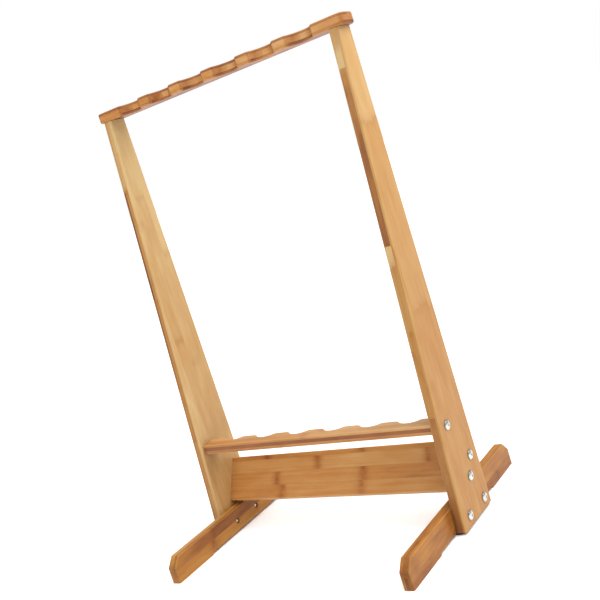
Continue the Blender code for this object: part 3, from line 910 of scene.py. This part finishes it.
FOOT_PLIES = {
    "right": [
        (6, [Strip(24, (0.60, 0.56), (-120,)), Strip(21, (0.68, 0.62), (60,))]),
        (6, [Strip(20, (0.72, 0.66), (20,)), Strip(25, (0.74, 0.70), (-150,))]),
        (6, [Strip(18, (0.71, 0.69), (140,), 30), Strip(27, (0.63, 0.63), (-62,), 30)]),
    ],
    "left": [
        (6, [Strip(24, (0.52, 0.56), (-104,), 30), Strip(21, (0.71, 0.80), (-96,), 30)]),
        wild_ply(6, (20, 25), 0.4, 0.15),
        wild_ply(6, (22, 23), 0.4, 0.05),
    ],
}
TOP_RAIL_PLIES = [
    (5, [Strip(5, (0.62, 0.61, 0.56), (-180, 40), 60),
         Strip(17, (0.84, 0.78, 0.74), (-180, 40), 60), Strip(24, (0.86, 0.84), (-90,))]),
    (8.5, [Strip(18.4, (0.48, 0.40, 0.33), (-130, 60), 60), Strip(27.6, (0.36, 0.28), (60,))]),
    # The top ply's front strip is dark: partly its tone, partly painted shade along the rail's top
    # arris.
    (4.5, [Strip(22, (0.76, 0.68), (70,)), Strip(24, (0.40, 0.45), (-30,))]),
]
LOWER_RAIL_PLIES = [
    (6.5, [Strip(17, (0.62, 0.50), (-60,), 60), Strip(16.5, (0.45, 0.4), (100,))]),
    (6.5, [Strip(17, (0.84, 0.80), (62,)), Strip(16.5, (0.6, 0.6), (-120,))]),
    (5, [Strip(17, (0.54, 0.30), (-10,), 260), Strip(16.5, (0.36, 0.12), (20,), 200)]),
]
APRON_PLIES = [
    wild_ply(6, (20, 25, 25, 12.5), 0.5),
    wild_ply(6, (14, 25, 25, 18.5), 0.5, 0.1),
    (6, [Strip(25, (0.54, 0.42, 0.48), (-117, 57)), Strip(24, (0.51, 0.48, 0.56), (-130, 61)),
         Strip(24.5, (0.44, 0.32, 0.46), (-37, 189)), Strip(9, (0.60, 0.56, 0.48), (-156, 60))]),
]


# ---- turned fittings

def make_ring(bm, z, radius_at):
    """Ring of vertices round local Z; radius_at(z, angle) gives each radius."""
    ring = []
    for step in range(SEGMENTS):
        angle = 2 * math.pi * step / SEGMENTS
        radius = radius_at(z, angle)
        ring.append(bm.verts.new((radius * math.cos(angle), radius * math.sin(angle), z)))
    return ring


def screw_surface(bm, radius_at, levels):
    """Joined rings, one at each level. Returns the rings."""
    rings = [make_ring(bm, z, radius_at) for z in levels]
    for low, high in zip(rings, rings[1:]):
        bridge(bm, low, high)
    return rings


def bridge(bm, low, high):
    for index in range(len(low)):
        after = (index + 1) % len(low)
        bm.faces.new((low[index], low[after], high[after], high[index]))


def wave(phase):
    """Triangle wave from 0 to 1 and back as phase goes from 0 to 1."""
    return 1 - abs(2 * (phase % 1) - 1)


def steps_between(low, high, size):
    count = max(1, round((high - low) / size))
    return [low + (high - low) * step / count for step in range(count + 1)]


def bolt_shank(bm, length, top):
    """Threaded shank from its chamfered tip at -length up to a plain neck that ends at top.
    Returns its last ring."""
    neck = top - NECK_LENGTH

    def radius_at(z, angle):
        fade = min(1, max(0, (neck - z) / BOLT_PITCH))
        groove = THREAD_DEPTH * fade * (1 - wave(z / BOLT_PITCH - angle / (2 * math.pi)))
        tip = max(0, TIP_CHAMFER * (1 - (z + length) / TIP_LENGTH))
        return BOLT_RADIUS - max(groove, tip)

    rings = screw_surface(bm, radius_at, steps_between(-length, top, BOLT_PITCH / 4))
    bm.faces.new(rings[0])
    return rings[-1]


def head_rings(bm, last, profile):
    """Continues from the shank's last ring through (radius, z) pairs, and closes on the axis."""
    for radius, z in profile[:-1]:
        ring = make_ring(bm, z, lambda *_: radius)
        bridge(bm, last, ring)
        last = ring
    apex = bm.verts.new((0, 0, profile[-1][1]))
    for index in range(len(last)):
        bm.faces.new((last[index], last[(index + 1) % len(last)], apex))


def dome_profile():
    """Low dome with a short rounded rim, its underside just clear of the wood."""
    rise = HEAD_HEIGHT - HEAD_RIM
    dome_radius = (HEAD_RADIUS ** 2 + rise ** 2) / (2 * rise)
    soft = 0.25 * MM
    profile = [(HEAD_RADIUS - soft, CLEARANCE), (HEAD_RADIUS, CLEARANCE + soft)]
    for ring in range(DOME_RINGS + 1):
        radius = HEAD_RADIUS * (1 - ring / DOME_RINGS)
        drop = dome_radius - math.sqrt(dome_radius ** 2 - radius ** 2)
        profile.append((radius, CLEARANCE + HEAD_HEIGHT - drop))
    return profile


def flat_profile():
    """Countersunk head, its top just under the wood's surface."""
    soft = 0.3 * MM
    top = -CLEARANCE
    return [(FLAT_HEAD_RADIUS, top - soft), (FLAT_HEAD_RADIUS, top - soft / 3),
            (FLAT_HEAD_RADIUS - soft, top), (FLAT_HEAD_RADIUS / 2, top), (0, top)]


def cross_recess(top):
    """Cross-shaped cutter, narrower towards its bottom."""
    arm = ((RECESS_WIDTH, RECESS_WIDTH), (RECESS_ARM, RECESS_WIDTH), (RECESS_ARM, -RECESS_WIDTH))
    cross = []
    for quarter in range(4):
        turn = Matrix.Rotation(-quarter * math.pi / 2, 2)
        cross += [turn @ Vector(point) for point in arm]
    bm = bmesh.new()
    levels = []
    for z, share in ((top + RECESS_RISE, RECESS_FLARE), (top - RECESS_DEPTH, RECESS_TAPER)):
        levels.append([bm.verts.new((point.x * share, point.y * share, z)) for point in cross])
    bridge(bm, *levels)
    bm.faces.new(levels[0])
    bm.faces.new(levels[1])
    face_outward(bm)
    return bm


def mark_painted_shade(piece, profile):
    """Painted shade in the recess and at the foot of the head's rim, as an attribute from 0 to 1."""
    painted_shade = piece.data.attributes.new("painted_shade", "FLOAT", "POINT")
    top = profile[-1][1]
    low = profile[0][1]
    for vert, darkness in zip(piece.data.vertices, painted_shade.data):
        radius = vert.co.xy.length
        if radius < RECESS_ARM * RECESS_FLARE and low < vert.co.z < top - RECESS_DEPTH / 2:
            darkness.value = RECESS_PAINTED_SHADE
        elif radius > HEAD_RADIUS - RIM_BAND and vert.co.z > 0:
            darkness.value = RIM_PAINTED_SHADE


def make_bolt(node, profile, length, matrix, material):
    bm = bmesh.new()
    last = bolt_shank(bm, length, profile[0][1])
    head_rings(bm, last, profile)
    piece = new_object("screw_" + node, bm, material)
    subtract(piece, cross_recess(profile[-1][1]))
    mark_painted_shade(piece, profile)
    finish_piece(piece, node, matrix)


def make_insert(node, matrix, material):
    """Sleeve with a coarse wood thread outside and a fine thread in its bore."""
    bm = bmesh.new()
    lead = 1.2 * MM

    def outside(z, angle):
        depth = min(-z, z + INSERT_LENGTH)
        fade = min(1, max(0, depth / lead))
        crest = wave(z / INSERT_PITCH - angle / (2 * math.pi)) ** 3
        return INSERT_RADIUS - INSERT_THREAD * (1 - crest * fade)

    def inside(z, angle):
        groove = BORE_THREAD * wave(z / BOLT_PITCH - angle / (2 * math.pi))
        return BOLT_RADIUS + CLEARANCE + groove

    outer = screw_surface(bm, outside, steps_between(-INSERT_LENGTH, 0, INSERT_PITCH / 8))
    inner = screw_surface(bm, inside, steps_between(-INSERT_LENGTH, 0, BOLT_PITCH / 4))
    bridge(bm, outer[0], inner[0])
    bridge(bm, outer[-1], inner[-1])
    piece = new_object("sleeve_" + node, bm, material)
    finish_piece(piece, node, matrix)


def make_dowel(node, radius, low, high, matrix, material):
    """Fluted dowel with chamfered ends, its grain along local Z."""
    bm = bmesh.new()
    chamfer = DOWEL_CHAMFER

    def radius_at(z, angle):
        end = max(0, chamfer - min(z - low, high - z))
        flute = FLUTE_DEPTH * (0.5 - 0.5 * math.cos(FLUTE_COUNT * angle))
        return radius - end - flute

    levels = [low, low + chamfer / 2, low + chamfer, high - chamfer, high - chamfer / 2, high]
    rings = screw_surface(bm, radius_at, levels)
    bm.faces.new(rings[0])
    bm.faces.new(rings[-1])
    grain = bm.verts.layers.float_vector.new("board")
    for vert in bm.verts:
        vert[grain] = (vert.co.z, vert.co.x, vert.co.y)
    piece = new_object("peg_" + node, bm, material)
    finish_piece(piece, node, matrix)


def make_glide(node, x, y, material):
    """Rubber button with a rounded foot and a shallow groove round its side."""
    top = POST_BOTTOM - CLEARANCE
    soft = 0.9 * MM
    groove = 0.3 * MM
    profile = [(GLIDE_RADIUS - soft, 0)]
    profile += [(GLIDE_RADIUS - soft * (1 - math.sin(turn)), soft * (1 - math.cos(turn)))
                for turn in (math.pi / 8, math.pi / 4, 3 * math.pi / 8, math.pi / 2)]
    profile += [(GLIDE_RADIUS, top / 2), (GLIDE_RADIUS - groove, top / 2 + groove),
                (GLIDE_RADIUS, top / 2 + 2 * groove), (GLIDE_RADIUS, top)]
    bm = bmesh.new()
    rings = [make_ring(bm, z, lambda *_: radius) for radius, z in profile]
    for low, high in zip(rings, rings[1:]):
        bridge(bm, low, high)
    bm.faces.new(rings[0])
    bm.faces.new(rings[-1])
    piece = new_object("button_" + node, bm, material)
    finish_piece(piece, node, Matrix.Translation((x, y, 0)))


def make_fittings(materials):
    for side_name, side in SIDES.items():
        turn = Matrix.Rotation(side * math.pi / 2, 4, "Y")
        for bolt_name, (y, z, length) in SIDE_BOLTS.items():
            ending = bolt_name + "_" + side_name
            make_bolt("bolt_" + ending, dome_profile(), length,
                      Matrix.Translation((side * POST_OUTER, y, z)) @ turn, materials["zinc"])
            make_insert("insert_" + ending, Matrix.Translation((side * BOARD_END, y, z)) @ turn,
                        materials["insert"])
        x = side * POST_MIDDLE
        make_bolt("bolt_top_" + side_name, flat_profile(), TOP_BOLT_LENGTH,
                  Matrix.Translation((x, TOP_BOLT_Y, TOP_RAIL_TOP)), materials["zinc"])
        make_insert("insert_top_" + side_name, Matrix.Translation((x, TOP_BOLT_Y, POST_TOP)),
                    materials["insert"])
        radius, in_rail, in_post = RAIL_DOWEL
        make_dowel("dowel_rail_" + side_name, radius, -in_rail, in_post,
                   Matrix.Translation((side * POST_INNER, RAIL_DOWEL_Y, RAIL_HEIGHT)) @ turn,
                   materials["dowel"])
        radius, in_post, in_rail = TOP_DOWEL
        make_dowel("dowel_top_" + side_name, radius, -in_post, in_rail,
                   Matrix.Translation((x, TOP_DOWEL_Y, POST_TOP)), materials["dowel"])
        for end_name, y in (("front", GLIDE_FRONT), ("back", GLIDE_BACK)):
            make_glide("glide_" + end_name + "_" + side_name, side * GLIDE_X, y, materials["rubber"])


# ---- studio

def make_floor():
    bm = bmesh.new()
    bmesh.ops.create_circle(bm, cap_ends=True, segments=FLOOR_SEGMENTS, radius=FLOOR_RADIUS)
    floor = new_object("floor", bm, floor_finish())


def add_light(light, direction, axis, place=(0, 0, 0)):
    """Hangs the light at the place, with its own axis along the direction."""
    lamp = bpy.data.objects.new(light.name, light)
    lamp.location = place
    lamp.rotation_mode = "QUATERNION"
    lamp.rotation_quaternion = Vector(direction).to_track_quat(axis, "Y")
    bpy.context.scene.collection.objects.link(lamp)


def softbox(name, place, aim, size, power, colour=(1, 1, 1)):
    light = bpy.data.lights.new(name, "AREA")
    light.shape = "RECTANGLE"
    light.size, light.size_y = size
    light.energy = power
    light.color = colour
    add_light(light, Vector(aim) - Vector(place), "-Z", place)


def sky_light(name, direction, strength, spread):
    """Distant soft light that comes from the given direction, equally bright all over the floor."""
    light = bpy.data.lights.new(name, "SUN")
    light.energy = strength
    light.angle = spread
    add_light(light, direction, "Z")


def make_world():
    """A room that lights the rack, dim low in front and bright above and behind. The camera sees
    plain white instead."""
    world = bpy.data.worlds.new("studio")
    world.use_nodes = True
    n = Nodes(world.node_tree)
    room = n.nodes["Background"]
    backdrop = n.nodes.new("ShaderNodeBackground")
    for background in (room, backdrop):
        background.inputs["Color"].default_value = (1, 1, 1, 1)
    _, y, z = n.split(n.nodes.new("ShaderNodeTexCoord").outputs["Generated"])
    height = n.math("ADD", n.math("MULTIPLY", y, ROOM_LEAN), z)
    strength = n.range(height, ROOM_LOW, ROOM_HIGH, ROOM_DIM, ROOM_BRIGHT, smooth=True)
    n.feed(room.inputs["Strength"], strength)
    seen = n.nodes.new("ShaderNodeLightPath").outputs["Is Camera Ray"]
    chooser = n.nodes.new("ShaderNodeMixShader")
    for socket, value in zip(chooser.inputs, (seen, room.outputs[0], backdrop.outputs[0])):
        n.feed(socket, value)
    n.feed(n.nodes["World Output"].inputs["Surface"], chooser.outputs[0])
    bpy.context.scene.world = world


def make_lights():
    softbox("key", place=(1.0, 0.25, 1.3), aim=(0.25, 0, 0.75), size=(0.7, 0.7), power=8,
            colour=(1.0, 0.99, 0.97))
    softbox("fill", place=(-0.3, -1.8, 1.6), aim=(0, 0, 0.6), size=(1.4, 1.4), power=18)
    sky_light("overhead", direction=(0.45, 0.05, 0.89), strength=2.65, spread=math.radians(80))
    bpy.context.scene.view_settings.view_transform = "Standard"


def make_camera():
    data = bpy.data.cameras.new("camera")
    data.sensor_width = CAMERA_SENSOR
    data.lens = CAMERA_LENS
    camera = bpy.data.objects.new("camera", data)
    turn = (Matrix.Rotation(CAMERA_AZIMUTH, 4, "Z")
            @ Matrix.Rotation(math.pi / 2 + CAMERA_ELEVATION, 4, "X")
            @ Matrix.Rotation(CAMERA_ROLL, 4, "Z"))
    camera.matrix_world = Matrix.Translation(CAMERA_PLACE) @ turn
    bpy.context.scene.collection.objects.link(camera)
    bpy.context.scene.camera = camera


def main():
    make_camera()
    make_world()
    make_lights()
    make_floor()
    posts = bamboo("bamboo_posts", tint=(0.74, 0.79, 0.72), node_strength=0.3, contrast=0.6,
                   mottling=0.9, joints=0.10, arris_wear_and_sheen=0.4)
    feet = bamboo("bamboo_feet", tint=(0.73, 0.72, 0.44), node_strength=0.8, contrast=0.6,
                  mottling=1.4, joints=0.2, arris_wear_and_sheen=0.25)
    neck_rail = bamboo("bamboo_neck_rail", tint=(0.84, 0.83, 0.76), node_strength=0.6,
                       contrast=1.2, mottling=1.7, joints=0.3, arris_wear_and_sheen=0.12)
    body_rail = bamboo("bamboo_body_rail", tint=(0.81, 0.83, 0.83), node_strength=0.6,
                       contrast=0.8, mottling=1.0, joints=0.4, arris_wear_and_sheen=0.4)
    apron = bamboo("bamboo_apron", tint=(0.87, 0.86, 0.75), node_strength=1.2, contrast=1.0,
                   mottling=1.0, joints=0.45, arris_wear_and_sheen=0.6)
    for side_name in SIDES:
        make_post(side_name, posts)
        make_foot(side_name, feet)
    make_top_rail(neck_rail)
    make_lower_rail(body_rail)
    make_apron(apron)
    make_fittings({"zinc": zinc(), "insert": insert_metal(), "dowel": beech(), "rubber": rubber()})


main()
